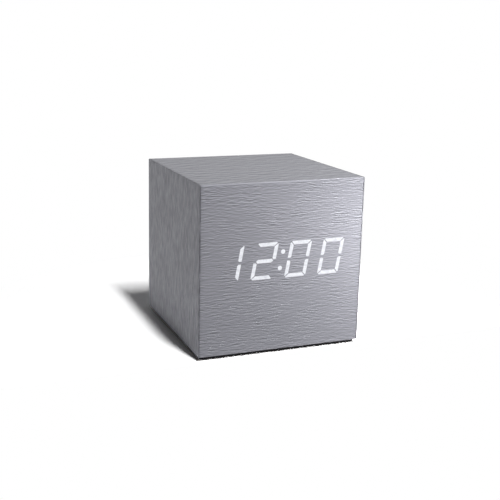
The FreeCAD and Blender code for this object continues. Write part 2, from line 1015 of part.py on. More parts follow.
def capacitors():
    cans = []
    for side in (-1, 1):
        z = middle_row_z() + side * (capacitor_radius + row_gap / 2)
        can = peg(capacitor_radius, capacitor_x(), z, control_front - capacitor_depth, control_front)
        rim = [edge for edge in can.Edges if edge.CenterOfMass.y < control_front - capacitor_depth / 2]
        cans.append(can.makeFillet(capacitor_round, rim))
    return group(cans)


def thermistor():
    """Bead on two legs."""
    x = capacitor_x() + capacitor_radius + row_gap + thermistor_radius
    z = lower_row_z() + resistor_width / 2 + row_gap + thermistor_radius
    legs = []
    for side in (-1, 1):
        at = x + side * thermistor_leg_offset
        legs.append(peg(thermistor_leg, at, z, control_front - thermistor_stand, control_front))
    bead = Part.makeSphere(thermistor_radius, V(x, control_front - thermistor_stand, z))
    return bead.fuse(legs)


def microphone():
    z = button_z + mic_rise
    return peg(mic_radius, socket_x, z, inner - mic_depth, inner - mic_play)


def microphone_boot():
    """Rubber sleeve that holds the microphone against the rear board."""
    z = button_z + mic_rise
    sleeve = peg(mic_radius + mic_play + mic_boot, socket_x, z, inner - mic_depth, inner)
    return sleeve.cut(peg(mic_radius + mic_play, socket_x, z, inner - mic_depth - past, inner + past))


# Push buttons

def button_bezel():
    """Black insert with a dished face, held by a flange inside the rear board."""
    length = button_pitch + dish_half_height
    slot_length = length - bezel_play
    slot_height = dish_half_height - bezel_play
    body = stadium(slot_length, slot_height, control_x, button_z, inner - bezel_flange_thickness, dish_floor)
    flange = stadium(length + bezel_flange, dish_half_height + bezel_flange, control_x, button_z,
                     inner - bezel_flange_thickness, inner)
    hollow = stadium(slot_length - bezel_wall, slot_height - bezel_wall, control_x, button_z,
                     inner - bezel_flange_thickness - past, bezel_inside)
    holes = [peg(button_radius + button_play, x, button_z, inner, half) for x in button_places]
    return body.fuse(flange).cut([hollow] + holes)


def plunger_tip():
    """Y of the outer end of each switch's plunger."""
    return control_back + switch_height + press_travel + press_play


def button_cap(x):
    """Round cap with a flange behind the bezel's face and a stem onto the switch."""
    face = half - button_depth
    head = peg(button_radius, x, button_z, bezel_inside, face)
    rim = [edge for edge in head.Edges if edge.CenterOfMass.y > face - button_edge]
    head = head.makeFillet(button_edge, rim)
    collar = peg(button_flange, x, button_z, bezel_inside - button_flange_thickness, bezel_inside)
    stem = peg(button_stem, x, button_z, plunger_tip(), bezel_inside)
    return head.fuse([collar, stem]).removeSplitter()


def switch_plunger(x):
    return peg(plunger_radius, x, button_z, control_back + switch_height - plunger_sunk, plunger_tip())


def tact_switches():
    """Switch bodies on the rear face of the control board."""
    bodies = []
    for x in button_places:
        side = switch_side / 2
        body = box((x - side, x + side), (control_back, control_back + switch_height),
                   (button_z - side, button_z + side))
        bottom = control_back + switch_height - plunger_sunk - press_travel - press_play
        bodies.append(body.cut(peg(plunger_radius + plunger_play, x, button_z, bottom, inner)))
    return group(bodies)


# Power socket

def socket_face():
    return half - socket_sink


def power_socket():
    """Round shell with a flange outside and a barrel through the rear board."""
    face = socket_face()
    flange = peg(socket_flange_radius, socket_x, button_z, face - socket_flange_thickness, face)
    rim = [edge for edge in flange.Edges if edge.CenterOfMass.y > face - socket_edge_cut]
    flange = flange.makeChamfer(socket_edge_cut, rim)
    barrel = peg(socket_radius, socket_x, button_z, face - socket_length, face - socket_flange_thickness)
    bore = peg(socket_bore, socket_x, button_z, face - socket_bore_depth, face + past)
    return flange.fuse(barrel).cut(bore)


def socket_contacts():
    """Centre pin inside the bore and two solder lugs behind the shell."""
    face = socket_face()
    floor = face - socket_bore_depth
    back = face - socket_length
    pin = peg(centre_pin_radius, socket_x, button_z, floor, face - centre_pin_sink)
    tip = [edge for edge in pin.Edges if edge.CenterOfMass.y > face - centre_pin_sink - near_plane]
    pin = pin.makeFillet(centre_pin_round, tip)
    lugs = []
    for side in (-1, 1):
        z = button_z + side * socket_lug_spread
        lugs.append(box((socket_x - socket_lug_width / 2, socket_x + socket_lug_width / 2),
                        (back - socket_lug_length, back),
                        (z - socket_lug_thickness / 2, z + socket_lug_thickness / 2)))
    return group([pin] + lugs)


def socket_nut():
    """Hexagon nut inside the rear board."""
    points = []
    for corner in range(6):
        angle = math.radians(60 * corner + 30)
        points.append(V(socket_x + nut_corner * math.cos(angle), inner - nut_thickness,
                        button_z + nut_corner * math.sin(angle)))
    nut = slab(points, V(0, nut_thickness, 0))
    hole = peg(socket_radius + nut_play, socket_x, button_z, inner - nut_thickness - past, inner + past)
    return nut.cut(hole)


def socket_leads():
    """Two leads from the socket's lugs to the front of the control board."""
    leads = []
    back = socket_face() - socket_length - socket_lug_length / 2
    for side in (-1, 1):
        z = button_z + side * (socket_lug_spread + socket_lug_thickness / 2)
        start = V(socket_x, back, z)
        rise = V(socket_x, back, z + side * socket_lead_rise)
        end = V(control_right - lead_inset, control_front, rise.z)
        near = V(end.x, control_front - socket_lead_end, end.z)
        over = V((socket_x + end.x) / 2, near.y, rise.z)
        leads.append(tube(route([start, rise, over, near, end]), lead_radius))
    return group(leads)


def all_parts():
    """Every piece of the clock by name."""
    parts = {
        "front_board": front_board(),
        "top_board": top_board(),
        "rear_board": rear_board(),
        "left_board": side_board(-1),
        "right_board": side_board(1),
        "wrap_film": wrap_film(),
        "left_film": side_film(-1),
        "right_film": side_film(1),
        "corner_blocks": corner_blocks(),
        "base_plate": base_plate(),
        "base_screws": base_screws(),
        "rubber_feet": rubber_feet(),
        "battery_lid": battery_lid(),
        "contact_springs": contact_springs(),
        "contact_plates": contact_plates(),
        "lead_black": battery_lead(-1, 0, -lead_share),
        "lead_red": battery_lead(1, cells - 1, lead_share),
        "display_housing": display_housing(),
        "colon_lights": colon_lights(),
        "unlit_segments": unlit_segments(),
        "led_chips": led_chips(),
        "display_board": display_board(),
        "display_spacers": display_spacers(),
        "display_screws": display_screws(),
        "display_driver": display_driver(),
        "display_connector": connector(display_pcb_back, 1, display_connector_z()),
        "ribbon_cable": ribbon_cable(),
        "control_board": control_board(),
        "control_spacers": control_spacers(),
        "control_screws": control_screws(),
        "control_connector": connector(control_front, -1, control_connector_z()),
        "clock_chip": clock_chip(),
        "buzzer": buzzer(),
        "crystal": crystal(),
        "capacitors": capacitors(),
        "display_resistors": display_resistors(),
        "control_resistors": control_resistors(),
        "thermistor": thermistor(),
        "microphone": microphone(),
        "microphone_boot": microphone_boot(),
        "button_bezel": button_bezel(),
        "tact_switches": tact_switches(),
        "power_socket": power_socket(),
        "socket_contacts": socket_contacts(),
        "socket_nut": socket_nut(),
        "socket_leads": socket_leads(),
    }
    for index in range(cells):
        parts[f"battery_cell_{index + 1}"] = battery_cell(index)
    for place in range(digits):
        parts[f"digit_{place + 1}_lights"] = digit_light(place)
    for name, x in zip(buttons, button_places):
        parts[f"{name}_button"] = button_cap(x)
        parts[f"{name}_plunger"] = switch_plunger(x)
    return parts


os.makedirs("parts", exist_ok=True)
for node, shape in all_parts().items():
    shape.exportStep(f"parts/{node}.step")
    print(f"{node}: {len(shape.Solids)} solids, {shape.Volume:.1f} mm3, valid {shape.isValid()}")
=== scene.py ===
import math

import bmesh
import bpy
from mathutils import Matrix, Vector


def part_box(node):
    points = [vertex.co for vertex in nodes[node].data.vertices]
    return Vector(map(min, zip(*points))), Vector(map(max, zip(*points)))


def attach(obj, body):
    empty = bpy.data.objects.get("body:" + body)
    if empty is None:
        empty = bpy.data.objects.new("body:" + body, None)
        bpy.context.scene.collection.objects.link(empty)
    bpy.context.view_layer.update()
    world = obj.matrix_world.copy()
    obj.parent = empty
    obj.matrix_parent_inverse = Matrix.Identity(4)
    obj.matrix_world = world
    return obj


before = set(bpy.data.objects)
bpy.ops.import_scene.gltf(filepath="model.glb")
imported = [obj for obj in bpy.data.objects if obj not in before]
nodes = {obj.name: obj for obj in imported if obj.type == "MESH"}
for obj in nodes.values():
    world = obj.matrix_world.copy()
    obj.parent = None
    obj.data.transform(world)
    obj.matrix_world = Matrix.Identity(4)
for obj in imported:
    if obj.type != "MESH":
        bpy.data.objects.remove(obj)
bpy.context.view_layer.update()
MM = 0.001

# Camera, from a fit to the cube's corners in the photograph. Its angles are azimuth, elevation
# and roll in degrees
CAMERA_ANGLES = (-20.588, 12.446, 0.887)
CAMERA_PLACE = (-0.13538, -0.32515, 0.12324)
CAMERA_SHIFT = (0.06, -0.06)
FOCAL_LENGTH_PX = 863.9
PHOTO_WIDTH_PX = 500
SENSOR_WIDTH = 36

# Lamps: name, place, target, width and height in metres, and power in watts
LIGHTS = (
    ("key", (0.0457, -0.40, 0.95), (0, 0, 0.034), (0.072, 0.28), 3.4),
    ("front_box", (0.12, -0.13, 0.02), (0, -0.034, 0.04), (0.05, 0.02), 0.13),
    ("right_box", (0.32, -0.20, 0.06), (0, -0.034, 0.04), (0.16, 0.08), 0.4),
    ("top_box", (0.09, -0.07, 0.17), (0.03, -0.02, 0.068), (0.05, 0.05), 0.134),
    ("left_fill", (-0.60, 0.0, 0.05), (0, 0, 0.034), (0.5, 0.08), 0.24),
    ("rear_fill", (0.2, 0.62, 0.03), (0, 0, 0.034), (0.5, 0.05), 1.0),
)
WORLD_LEVEL = 0.01

# Floor: its tone to the lamps and to the eye, and where it turns white, by distance from the
# clock's middle and by Y just before its front
FLOOR_SIZE = 6
FLOOR_LIT = (0.36, 0.36, 0.37)
FLOOR_SEEN = (3.4, 3.4, 3.4)
WHITE_AROUND = (0.085, 0.125)
WHITE_BEFORE = (-33.6 * MM, -35.6 * MM)

# Grain of the film: dash length and row height in millimetres, and where its noise starts
SHORT_DASHES = (2.8, 0.36, 0.3)
LONG_DASHES = (4.5, 0.50, 4.7)
COARSE_ACROSS = (6.5, 1.70, 9.1)
COARSE_UPRIGHT = (5.0, 1.20, 9.1)
SHORT_CONTRAST = 1.45
LONG_CONTRAST = 0.90
PATCH_CONTRAST = (0.55, 1.45)
BROAD_SHARE = 0.08
ROW_STRIDE = 7.31
GRAIN_TILT = 0.038
FILM_METALLIC = 0.42
FILM_ROUGHNESS = (0.54, 0.44)
FILM_DARK = (0.162, 0.163, 0.181)
FILM_MIDDLE = (0.258, 0.259, 0.288)
FILM_LIGHT = (0.376, 0.377, 0.416)
FILM_SEAM_AND_SHADE = (0.040, 0.040, 0.050)

# Edges of the film: the dark seam line and the painted shade beside a cut edge, with their
# strengths where the grain runs along X or along Z, and the painted highlight strip along a fold
RIM_LINE = (0.08 * MM, 0.34 * MM)
RIM_SHADE = 1.8 * MM
RIM_STRENGTH = {"X": (0.08, 0.06), "Z": (0.30, 0.12)}
FOLD_HIGHLIGHT_STRIP = (0.3 * MM, 0.9 * MM)
FOLD_HIGHLIGHT_STRENGTH = 0.45

# Battery cells and ribbon cable
SLEEVE_HALF = 21.3 * MM
SLEEVE_BAND = 9.5 * MM
CELL_TIP = 1.0 * MM
RIBBON_PITCH = 1.27 * MM

# Raised marks
KEY_MARK_RISE = 0.12 * MM
LID_MARK_RISE = 0.18 * MM
MARK_CORNER = 0.18 * MM
SIDE_SLOPE = 0.55
LID_ARROW_INSET = 12.5 * MM


# Camera

def add_camera():
    """Camera at the photograph's place, aimed as its perspective shows."""
    azimuth, elevation, roll = (math.radians(angle) for angle in CAMERA_ANGLES)
    back = Vector((
        math.sin(azimuth) * math.cos(elevation),
        -math.cos(azimuth) * math.cos(elevation),
        math.sin(elevation),
    ))
    level = Vector((math.cos(azimuth), math.sin(azimuth), 0))
    upright = back.cross(level)
    right = level * math.cos(roll) + upright * math.sin(roll)
    up = upright * math.cos(roll) - level * math.sin(roll)
    data = bpy.data.cameras.new("photo_camera")
    data.sensor_width = SENSOR_WIDTH
    data.sensor_height = SENSOR_WIDTH
    data.sensor_fit = "HORIZONTAL"
    data.lens = SENSOR_WIDTH * FOCAL_LENGTH_PX / PHOTO_WIDTH_PX
    data.shift_x, data.shift_y = CAMERA_SHIFT
    data.clip_start = 0.01
    camera = bpy.data.objects.new("photo_camera", data)
    turn = Matrix((right, up, back)).transposed().to_4x4()
    camera.matrix_world = Matrix.Translation(CAMERA_PLACE) @ turn
    bpy.context.collection.objects.link(camera)
    bpy.context.scene.camera = camera


# Node helpers

def new_material(name):
    material = bpy.data.materials.new(name)
    material.use_nodes = True
    return material, material.node_tree, material.node_tree.nodes["Principled BSDF"]


def place(tree, scale=(1, 1, 1), turn=(0, 0, 0)):
    """Object coordinates in metres, turned and scaled."""
    source = tree.nodes.new("ShaderNodeTexCoord")
    mapping = tree.nodes.new("ShaderNodeMapping")
    mapping.inputs["Scale"].default_value = scale
    mapping.inputs["Rotation"].default_value = turn
    tree.links.new(source.outputs["Object"], mapping.inputs["Vector"])
    return mapping.outputs["Vector"]


def noise(tree, vector, scale=1.0, detail=2.0, rough=0.5, distortion=0.0):
    node = tree.nodes.new("ShaderNodeTexNoise")
    node.inputs["Scale"].default_value = scale
    node.inputs["Detail"].default_value = detail
    node.inputs["Roughness"].default_value = rough
    node.inputs["Distortion"].default_value = distortion
    tree.links.new(vector, node.inputs["Vector"])
    return node.outputs["Fac"]


def math_node(tree, operation, a, b=None, c=None):
    """Result of a sum on sockets or plain numbers."""
    node = tree.nodes.new("ShaderNodeMath")
    node.operation = operation
    for socket, value in zip(node.inputs, (a, b, c)):
        if value is None:
            continue
        if isinstance(value, (int, float)):
            socket.default_value = value
        else:
            tree.links.new(value, socket)
    return node.outputs[0]


def remap(tree, value, low, high, new_low=0.0, new_high=1.0, smooth=False):
    """Value moved from one range to another and held inside it."""
    node = tree.nodes.new("ShaderNodeMapRange")
    if smooth:
        node.interpolation_type = "SMOOTHSTEP"
    node.inputs["From Min"].default_value = low
    node.inputs["From Max"].default_value = high
    node.inputs["To Min"].default_value = new_low
    node.inputs["To Max"].default_value = new_high
    tree.links.new(value, node.inputs["Value"])
    return node.outputs["Result"]


def ramp(tree, value, stops):
    """Colour that follows a value through stops of position and colour."""
    node = tree.nodes.new("ShaderNodeValToRGB")
    elements = node.color_ramp.elements
    while len(elements) < len(stops):
        elements.new(0.5)
    for element, (position, colour) in zip(elements, stops):
        element.position = position
        element.color = (*colour, 1)
    tree.links.new(value, node.inputs["Fac"])
    return node.outputs["Color"]


def mix(tree, factor, a, b):
    """Blend of two colours by a factor."""
    node = tree.nodes.new("ShaderNodeMix")
    node.data_type = "RGBA"
    colours = [socket for socket in node.inputs if socket.type == "RGBA"]
    for socket, value in ((node.inputs[0], factor), (colours[0], a), (colours[1], b)):
        if isinstance(value, (int, float)):
            socket.default_value = value
        elif isinstance(value, tuple):
            socket.default_value = (*value, 1)
        else:
            tree.links.new(value, socket)
    return next(socket for socket in node.outputs if socket.type == "RGBA")


def bump(tree, shader, height, distance, strength=1.0):
    node = tree.nodes.new("ShaderNodeBump")
    node.inputs["Strength"].default_value = strength
    node.inputs["Distance"].default_value = distance
    tree.links.new(height, node.inputs["Height"])
    tree.links.new(node.outputs["Normal"], shader.inputs["Normal"])


def axis(tree, name):
    """One object coordinate in metres."""
    source = tree.nodes.new("ShaderNodeTexCoord")
    split = tree.nodes.new("ShaderNodeSeparateXYZ")
    tree.links.new(source.outputs["Object"], split.inputs["Vector"])
    return split.outputs[name]


def shade(colour, factor):
    """Colour made darker or lighter, at most white."""
    return tuple(min(1.0, c * factor) for c in colour)


# Silver film with an embossed grain of short dashes

def film_rim(tree, along):
    """Distance to the film's cut edges, which lie along the cube's side edges."""
    def reach(name, half):
        return math_node(tree, "SUBTRACT", half, math_node(tree, "ABSOLUTE", axis(tree, name)))

    if along == "X":
        return reach("X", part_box("wrap_film")[1][0])
    low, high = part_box("left_film")
    middle, half = (low[2] + high[2]) / 2, (high[2] - low[2]) / 2
    height = math_node(tree, "SUBTRACT", axis(tree, "Z"), middle)
    upright = math_node(tree, "SUBTRACT", half, math_node(tree, "ABSOLUTE", height))
    return math_node(tree, "MINIMUM", reach("Y", high[1]), upright)


def film_fold(tree):
    """Distance to the upper front and rear edges, where the film folds over and gets a painted
    highlight.
    """
    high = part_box("wrap_film")[1]
    depth = math_node(tree, "SUBTRACT", high[1], math_node(tree, "ABSOLUTE", axis(tree, "Y")))
    return math_node(tree, "MAXIMUM", depth, math_node(tree, "SUBTRACT", high[2], axis(tree, "Z")))


def grain_rows(tree, along, length_mm, row_mm, start, paired=True):
    """Level about 0 of dashes in rows. When paired, a light dash has darker ones beside it."""
    if along == "X":
        lengthwise = axis(tree, "X")
        across = math_node(tree, "ADD", axis(tree, "Y"), axis(tree, "Z"))
        across = math_node(tree, "MULTIPLY_ADD", lengthwise, GRAIN_TILT, across)
    else:
        lengthwise, across = axis(tree, "Z"), axis(tree, "Y")
    row = math_node(tree, "MULTIPLY_ADD", across, 1 / (row_mm * MM), start)
    row = math_node(tree, "FLOOR", row)
    lengthwise = math_node(tree, "MULTIPLY", lengthwise, 1 / (length_mm * MM))
    levels = []
    for step in (0, -1, 1) if paired else (0,):
        vector = tree.nodes.new("ShaderNodeCombineXYZ")
        beside = math_node(tree, "MULTIPLY_ADD", row, ROW_STRIDE, ROW_STRIDE * step)
        tree.links.new(lengthwise, vector.inputs["X"])
        tree.links.new(beside, vector.inputs["Y"])
        vector.inputs["Z"].default_value = start
        levels.append(noise(tree, vector.outputs["Vector"], detail=1.0))
    if not paired:
        return math_node(tree, "SUBTRACT", levels[0], 0.5)
    around = math_node(tree, "MULTIPLY", math_node(tree, "ADD", levels[1], levels[2]), 0.5)
    return math_node(tree, "SUBTRACT", levels[0], around)


def silver_film(name, along, coarse_below, coarse_on_top):
    """Film whose dashes run along X or Z, with weights of the coarse ones for sides and top."""
    material, tree, shader = new_material(name)
    short = grain_rows(tree, along, *SHORT_DASHES)
    long = grain_rows(tree, along, *LONG_DASHES)
    if along == "X":
        coarse = grain_rows(tree, along, *COARSE_ACROSS)
        stretch = (60, 160, 160)
    else:
        coarse = grain_rows(tree, along, *COARSE_UPRIGHT, paired=False)
        stretch = (160, 160, 60)
    patch = noise(tree, place(tree), scale=120, detail=1.0)
    patch = remap(tree, patch, 0.35, 0.65, *PATCH_CONTRAST)
    broad = noise(tree, place(tree, stretch), detail=2.0)
    fine = math_node(tree, "MULTIPLY", long, LONG_CONTRAST)
    fine = math_node(tree, "MULTIPLY_ADD", short, SHORT_CONTRAST, fine)
    relief = math_node(tree, "ADD", math_node(tree, "MULTIPLY", fine, patch), 0.5)
    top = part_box("wrap_film")[1][2]
    weight = remap(tree, axis(tree, "Z"), top - 0.2 * MM, top, coarse_below, coarse_on_top)
    relief = math_node(tree, "MULTIPLY_ADD", coarse, weight, relief)
    broad = math_node(tree, "MULTIPLY", broad, BROAD_SHARE)
    tone = math_node(tree, "MULTIPLY_ADD", relief, 1 - BROAD_SHARE, broad)
    colour = ramp(tree, tone, [(0.08, FILM_DARK), (0.50, FILM_MIDDLE), (0.92, FILM_LIGHT)])
    # Painted highlight: the film turned lighter along the folds at the upper front and rear edges.
    painted_highlight = remap(tree, film_fold(tree), *FOLD_HIGHLIGHT_STRIP, FOLD_HIGHLIGHT_STRENGTH, 0.0, smooth=True)
    colour = mix(tree, painted_highlight, colour, FILM_LIGHT)
    rim = film_rim(tree, along)
    line_strength, shade_strength = RIM_STRENGTH[along]
    # A dark seam line at the cut edge, and painted shade that darkens the film towards that edge.
    line = remap(tree, rim, *RIM_LINE, line_strength, 0.0)
    soft = remap(tree, rim, 0.0, RIM_SHADE, shade_strength, 0.0, smooth=True)
    seam_and_shade = math_node(tree, "MAXIMUM", line, soft)
    tree.links.new(mix(tree, seam_and_shade, colour, FILM_SEAM_AND_SHADE), shader.inputs["Base Color"])
    shader.inputs["Metallic"].default_value = FILM_METALLIC
    shader.inputs["Specular IOR Level"].default_value = 0.2
    tree.links.new(remap(tree, relief, 0.0, 1.0, *FILM_ROUGHNESS), shader.inputs["Roughness"])
    bump(tree, shader, relief, 0.03 * MM, 0.7)
    return material


def lit_segment():
    """Diffusing resin with the light behind it, seen through the film's grain."""
    material, tree, shader = new_material("lit_segment")
    grain = noise(tree, place(tree, (300, 1500, 1500)), detail=2.0)
    cloud = noise(tree, place(tree), scale=900, detail=2.0)
    level = math_node(tree, "MULTIPLY_ADD", grain, 0.5, math_node(tree, "MULTIPLY", cloud, 0.5))
    glow = ramp(tree, level, [(0.34, (0.44, 0.45, 0.49)), (0.58, (0.63, 0.64, 0.67))])
    tree.links.new(glow, shader.inputs["Emission Color"])
    shader.inputs["Emission Strength"].default_value = 1.0
    resin = mix(tree, level, (0.24, 0.24, 0.26), (0.31, 0.31, 0.33))
    tree.links.new(resin, shader.inputs["Base Color"])
    shader.inputs["Roughness"].default_value = 0.5
    bump(tree, shader, grain, 0.02 * MM)
    return material


# Plainer finishes, each with its own grain

def moulded(name, colour, roughness, grain_mm=0.35, depth_mm=0.012, spread=0.12, specular=0.5):
    """Moulded plastic, rubber or resin: fine texture, with some change in colour and gloss."""
    material, tree, shader = new_material(name)
    vector = place(tree)
    texture = noise(tree, vector, scale=1000 / grain_mm, detail=2.0)
    cloud = noise(tree, vector, scale=110, detail=3.0)
    level = math_node(tree, "MULTIPLY", cloud, 0.65)
    level = math_node(tree, "MULTIPLY_ADD", texture, 0.35, level)
    dark, light = shade(colour, 1 - spread), shade(colour, 1 + spread)
    tone = ramp(tree, level, [(0.30, dark), (0.70, light)])
    tree.links.new(tone, shader.inputs["Base Color"])
    shader.inputs["Specular IOR Level"].default_value = specular
    rough = remap(tree, level, 0.3, 0.7, roughness - 0.06, roughness + 0.06)
    tree.links.new(rough, shader.inputs["Roughness"])
    bump(tree, shader, texture, depth_mm * MM)
    return material


def opening_edges(tree):
    """1 around the rear openings for the keys, the socket and the microphone."""
    openings = []
    for node, reach in (("button_bezel", 0.0), ("power_socket", 0.7 * MM), ("microphone", 0.0)):
        low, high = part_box(node)
        middle_x, middle_z = (low[0] + high[0]) / 2, (low[2] + high[2]) / 2
        half_width = (high[0] - low[0]) / 2 + reach
        half_height = (high[2] - low[2]) / 2 + reach
        openings.append((middle_x, middle_z, half_width, half_height))
    inside = 0.0
    for middle_x, middle_z, half_width, half_height in openings:
        across = math_node(tree, "COMPARE", axis(tree, "X"), middle_x, half_width)
        upright = math_node(tree, "COMPARE", axis(tree, "Z"), middle_z, half_height)
        inside = math_node(tree, "MAXIMUM", math_node(tree, "MULTIPLY", across, upright), inside)
    return inside


def fibreboard(name, sealed=False):
    """Pressed board: matted fibres and flecks. When sealed, its openings are stained black."""
    material, tree, shader = new_material(name)
    fibre = noise(tree, place(tree), scale=1500, detail=4.0, rough=0.7, distortion=0.6)
    fleck = noise(tree, place(tree, (1, 1.4, 0.8)), scale=420, detail=3.0, rough=0.6)
    level = math_node(tree, "MULTIPLY_ADD", fibre, 0.6, math_node(tree, "MULTIPLY", fleck, 0.4))
    stops = [(0.32, (0.30, 0.20, 0.11)), (0.50, (0.50, 0.36, 0.22)), (0.68, (0.62, 0.47, 0.31))]
    tone = ramp(tree, level, stops)
    if sealed:
        tone = mix(tree, opening_edges(tree), tone, (0.014, 0.013, 0.013))
    tree.links.new(tone, shader.inputs["Base Color"])
    shader.inputs["Roughness"].default_value = 0.9
    bump(tree, shader, level, 0.08 * MM)
    return material


def pine():
    """Sawn softwood with growth rings."""
    material, tree, shader = new_material("pine")
    wave = tree.nodes.new("ShaderNodeTexWave")
    wave.wave_type = "RINGS"
    wave.rings_direction = "Z"
    wave.inputs["Scale"].default_value = 90
    wave.inputs["Distortion"].default_value = 4
    wave.inputs["Detail"].default_value = 3
    tree.links.new(place(tree, (1, 1, 0.15)), wave.inputs["Vector"])
    tone = ramp(tree, wave.outputs["Fac"], [(0.2, (0.76, 0.60, 0.38)), (0.9, (0.58, 0.40, 0.22))])
    tree.links.new(tone, shader.inputs["Base Color"])
    shader.inputs["Roughness"].default_value = 0.8
    bump(tree, shader, noise(tree, place(tree, (900, 900, 90)), detail=3.0), 0.06 * MM)
    return material


def circuit_board():
    """Green solder mask over traces, with plated dots."""
    material, tree, shader = new_material("circuit_board")
    traces = tree.nodes.new("ShaderNodeTexBrick")
    traces.offset = 0.37
    traces.inputs["Scale"].default_value = 1.0
    traces.inputs["Mortar Size"].default_value = 0.10
    traces.inputs["Mortar Smooth"].default_value = 0.1
    traces.inputs["Brick Width"].default_value = 2.6
    traces.inputs["Row Height"].default_value = 0.9
    flat = place(tree, (700, 700, 700), (math.radians(90), 0, 0))
    tree.links.new(flat, traces.inputs["Vector"])
    dots = tree.nodes.new("ShaderNodeTexVoronoi")
    dots.feature = "F1"
    dots.inputs["Scale"].default_value = 330
    dots.inputs["Randomness"].default_value = 0.55
    tree.links.new(place(tree, (1, 0.001, 1)), dots.inputs["Vector"])
    pads = remap(tree, dots.outputs["Distance"], 0.16, 0.19, 1.0, 0.0)
    cloud = noise(tree, place(tree), scale=160, detail=3.0)
    mask = mix(tree, cloud, (0.020, 0.120, 0.052), (0.030, 0.165, 0.075))
    traced = mix(tree, traces.outputs["Fac"], (0.055, 0.270, 0.120), mask)
    plated = mix(tree, pads, traced, (0.62, 0.60, 0.55))
    tree.links.new(plated, shader.inputs["Base Color"])
    tree.links.new(math_node(tree, "MULTIPLY", pads, 0.9), shader.inputs["Metallic"])
    tree.links.new(remap(tree, cloud, 0.3, 0.7, 0.28, 0.42), shader.inputs["Roughness"])
    bump(tree, shader, traces.outputs["Fac"], 0.03 * MM, 0.6)
    return material


def cell_sleeve(name, way, middle_x):
    """Printed sleeve in two plain colours, with bare metal at both ends."""
    material, tree, shader = new_material(name)
    x = math_node(tree, "MULTIPLY", math_node(tree, "SUBTRACT", axis(tree, "X"), middle_x), way)
    metal = math_node(tree, "GREATER_THAN", math_node(tree, "ABSOLUTE", x), SLEEVE_HALF)
    band = remap(tree, x, SLEEVE_BAND - 0.1 * MM, SLEEVE_BAND + 0.1 * MM)
    line = math_node(tree, "COMPARE", x, SLEEVE_BAND, 0.35 * MM)
    speck = noise(tree, place(tree, (300, 1500, 1500)), detail=3.0)
    blue = mix(tree, speck, (0.035, 0.100, 0.230), (0.050, 0.135, 0.290))
    grey = mix(tree, speck, (0.52, 0.52, 0.54), (0.64, 0.64, 0.66))
    printed = mix(tree, line, mix(tree, band, blue, grey), (0.90, 0.90, 0.90))
    tree.links.new(mix(tree, metal, printed, (0.68, 0.67, 0.65)), shader.inputs["Base Color"])
    tree.links.new(remap(tree, metal, 0, 1, 0.35, 1.0), shader.inputs["Metallic"])
    tree.links.new(remap(tree, speck, 0.3, 0.7, 0.24, 0.34), shader.inputs["Roughness"])
    bump(tree, shader, speck, 0.01 * MM)
    return material


def ribbon_grey():
    """Flat cable: a row of parallel wires under a smooth jacket."""
    material, tree, shader = new_material("ribbon_grey")
    turns = math_node(tree, "MULTIPLY", axis(tree, "X"), 2 * math.pi / RIBBON_PITCH)
    ridge = math_node(tree, "SINE", turns)
    speck = noise(tree, place(tree), scale=700, detail=2.0)
    # Painted shade: the jacket darker in the grooves between the wires.
    tone = mix(tree, remap(tree, ridge, -1, -0.6), (0.30, 0.30, 0.32), (0.50, 0.50, 0.53))
    tone = mix(tree, math_node(tree, "MULTIPLY", speck, 0.25), tone, (0.62, 0.62, 0.64))
    tree.links.new(tone, shader.inputs["Base Color"])
    tree.links.new(remap(tree, speck, 0.3, 0.7, 0.42, 0.55), shader.inputs["Roughness"])
    bump(tree, shader, ridge, 0.25 * MM)
    return material


def turned_metal(name, colour, roughness, scale=(2500, 2500, 200)):
    """Drawn or plated metal with fine lines."""
    material, tree, shader = new_material(name)
    lines = noise(tree, place(tree, scale), detail=3.0)
    cloud = noise(tree, place(tree), scale=260, detail=2.0)
    tone = ramp(tree, cloud, [(0.3, shade(colour, 0.84)), (0.7, shade(colour, 1.1))])
    tree.links.new(tone, shader.inputs["Base Color"])
    shader.inputs["Metallic"].default_value = 1.0
    rough = remap(tree, lines, 0.3, 0.7, roughness - 0.07, roughness + 0.1)
    tree.links.new(rough, shader.inputs["Roughness"])
    bump(tree, shader, lines, 0.006 * MM)
    return material


